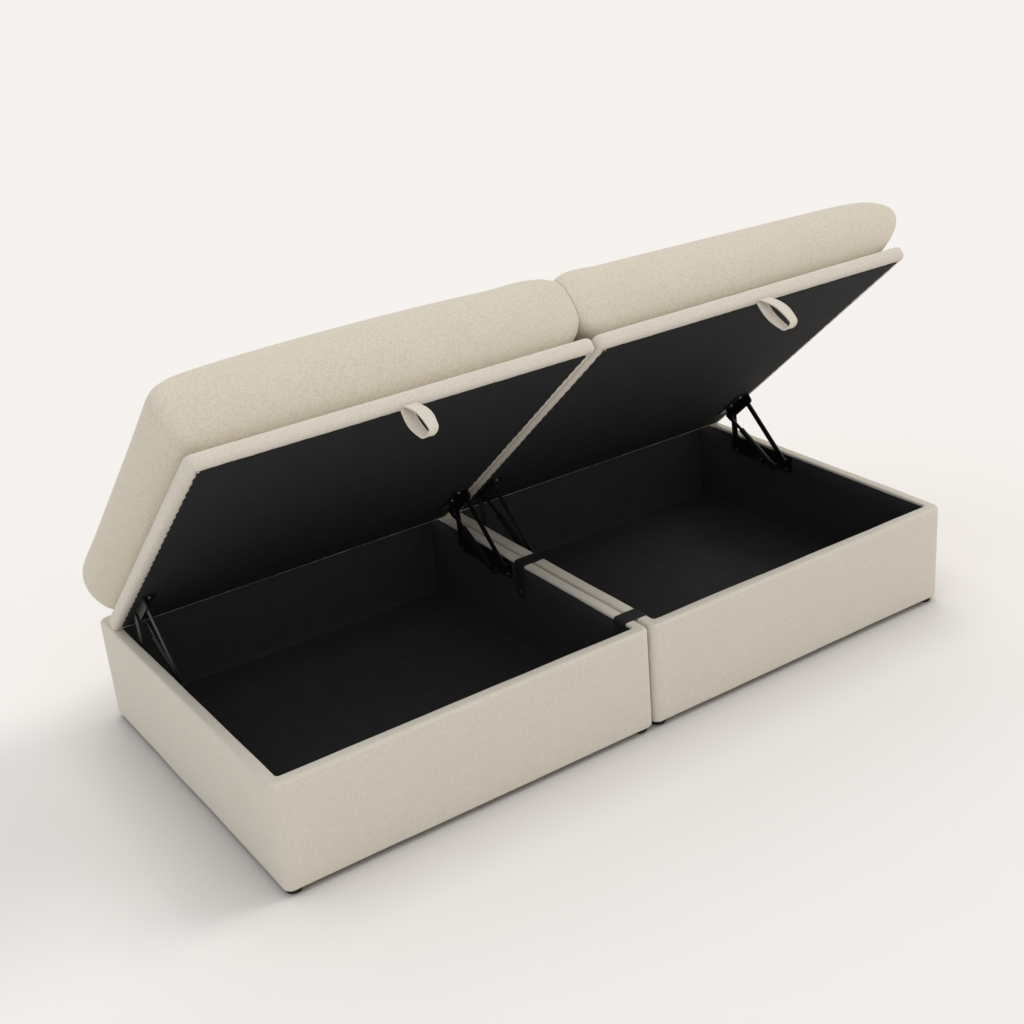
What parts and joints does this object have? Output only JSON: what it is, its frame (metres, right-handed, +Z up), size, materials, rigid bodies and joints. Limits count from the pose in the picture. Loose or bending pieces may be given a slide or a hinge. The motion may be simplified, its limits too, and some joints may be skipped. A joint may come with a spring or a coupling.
{
  "type": "modular storage sofa seat",
  "caption": "Low upholstered sofa seat modules strapped side by side, with cushioned lids that lift on link hinges over black-lined storage boxes.",
  "frame": {"origin": "middle of the footprint, on the floor", "axes": "+X to the right along both modules, +Y to the back, +Z up; the lids stand open"},
  "size_m": [1.704, 0.866, 0.9177],
  "materials": {
    "panel_wood": "raw plywood and board under the upholstery",
    "cover_fabric": "cream woven upholstery cloth, matt",
    "cushion_fabric": "the same cream woven cloth over soft foam",
    "lining_cloth": "black non-woven lining, matt",
    "dust_cloth": "black non-woven dust cover, matt",
    "strap_webbing": "black woven webbing",
    "grip_tape": "black hook-and-loop tape",
    "hinge_steel": "black powder-coated steel, satin",
    "rod_steel": "black nitrided steel rod, satin",
    "screw_steel": "zinc-plated steel",
    "foot_plastic": "moulded black plastic"
  },
  "bodies": {
    "base": {"left_front_panel": "panel_wood", "left_back_panel": "panel_wood", "left_outer_panel": "panel_wood", "left_inner_panel": "panel_wood", "left_bottom_board": "panel_wood", "left_base_cover": "cover_fabric", "left_storage_liner": "lining_cloth", "left_bottom_dust_cover": "dust_cloth", "left_feet": "foot_plastic", "left_wall_plates": "hinge_steel", "left_wall_screws": "screw_steel", "left_base_pins": "hinge_steel", "right_front_panel": "panel_wood", "right_back_panel": "panel_wood", "right_outer_panel": "panel_wood", "right_inner_panel": "panel_wood", "right_bottom_board": "panel_wood", "right_base_cover": "cover_fabric", "right_storage_liner": "lining_cloth", "right_bottom_dust_cover": "dust_cloth", "right_feet": "foot_plastic", "right_wall_plates": "hinge_steel", "right_wall_screws": "screw_steel", "right_base_pins": "hinge_steel", "front_strap": "strap_webbing", "back_strap": "strap_webbing", "strap_screws": "screw_steel"},
    "left_lid": {"left_lid_board": "panel_wood", "left_lid_cover": "cover_fabric", "left_lid_dust_cover": "dust_cloth", "left_pull_loop": "cover_fabric", "left_lid_plates": "hinge_steel", "left_lid_screws": "screw_steel", "left_lid_pins": "hinge_steel", "left_grip_strips": "grip_tape", "left_cushion": "cushion_fabric"},
    "left_rear_link_pair": {"left_rear_links": "hinge_steel"},
    "left_front_link_pair": {"left_front_links": "hinge_steel"},
    "left_strut_tube_pair": {"left_strut_tubes": "hinge_steel"},
    "left_strut_rod_pair": {"left_strut_rods": "rod_steel"},
    "right_lid": {"right_lid_board": "panel_wood", "right_lid_cover": "cover_fabric", "right_lid_dust_cover": "dust_cloth", "right_pull_loop": "cover_fabric", "right_lid_plates": "hinge_steel", "right_lid_screws": "screw_steel", "right_lid_pins": "hinge_steel", "right_grip_strips": "grip_tape", "right_cushion": "cushion_fabric"},
    "right_rear_link_pair": {"right_rear_links": "hinge_steel"},
    "right_front_link_pair": {"right_front_links": "hinge_steel"},
    "right_strut_tube_pair": {"right_strut_tubes": "hinge_steel"},
    "right_strut_rod_pair": {"right_strut_rods": "rod_steel"}
  },
  "joints": [
    {"name": "left_lid_lift", "type": "hinge", "parent": "base", "child": "left_rear_link_pair", "pos_m": [-0.427, 0.22548, 0.224], "axis": [1, 0, 0], "range_deg": [-80.5, 0], "stiffness_Nm_per_rad": 22.705, "springref_deg": 99.5},
    {"name": "left_lid_tilt", "type": "hinge", "parent": "left_rear_link_pair", "child": "left_lid", "pos_m": [-0.427, 0.23301, 0.2993], "axis": [1, 0, 0], "range_deg": [0, 122.01]},
    {"name": "left_front_link_swing", "type": "hinge", "parent": "base", "child": "left_front_link_pair", "pos_m": [-0.427, 0.03936, 0.224], "axis": [1, 0, 0], "range_deg": [-41.05, 0]},
    {"name": "left_strut_swing", "type": "hinge", "parent": "base", "child": "left_strut_tube_pair", "pos_m": [-0.427, 0.06736, 0.205], "axis": [1, 0, 0], "range_deg": [-23.8, 0]},
    {"name": "left_strut_slide", "type": "slide", "parent": "left_strut_tube_pair", "child": "left_strut_rod_pair", "axis": [0, 0.869, 0.4947], "range_m": [0, 0.04426]},
    {"name": "right_lid_lift", "type": "hinge", "parent": "base", "child": "right_rear_link_pair", "pos_m": [0.427, 0.22548, 0.224], "axis": [1, 0, 0], "range_deg": [-80.5, 0], "stiffness_Nm_per_rad": 22.705, "springref_deg": 99.5},
    {"name": "right_lid_tilt", "type": "hinge", "parent": "right_rear_link_pair", "child": "right_lid", "pos_m": [0.427, 0.23301, 0.2993], "axis": [1, 0, 0], "range_deg": [0, 122.01]},
    {"name": "right_front_link_swing", "type": "hinge", "parent": "base", "child": "right_front_link_pair", "pos_m": [0.427, 0.03936, 0.224], "axis": [1, 0, 0], "range_deg": [-41.05, 0]},
    {"name": "right_strut_swing", "type": "hinge", "parent": "base", "child": "right_strut_tube_pair", "pos_m": [0.427, 0.06736, 0.205], "axis": [1, 0, 0], "range_deg": [-23.8, 0]},
    {"name": "right_strut_slide", "type": "slide", "parent": "right_strut_tube_pair", "child": "right_strut_rod_pair", "axis": [0, 0.869, 0.4947], "range_m": [0, 0.04426]}
  ],
  "couplings": [
    {"joint": "left_lid_tilt", "follows": "left_lid_lift", "ratio": -1.5155},
    {"joint": "left_front_link_swing", "follows": "left_lid_lift", "ratio": 0.50982},
    {"joint": "left_strut_swing", "follows": "left_lid_lift", "ratio": 0.29549},
    {"joint": "left_strut_slide", "follows": "left_lid_lift", "m_per_rad": -0.031496},
    {"joint": "right_lid_tilt", "follows": "right_lid_lift", "ratio": -1.5155},
    {"joint": "right_front_link_swing", "follows": "right_lid_lift", "ratio": 0.50982},
    {"joint": "right_strut_swing", "follows": "right_lid_lift", "ratio": 0.29549},
    {"joint": "right_strut_slide", "follows": "right_lid_lift", "m_per_rad": -0.031496}
  ]
}
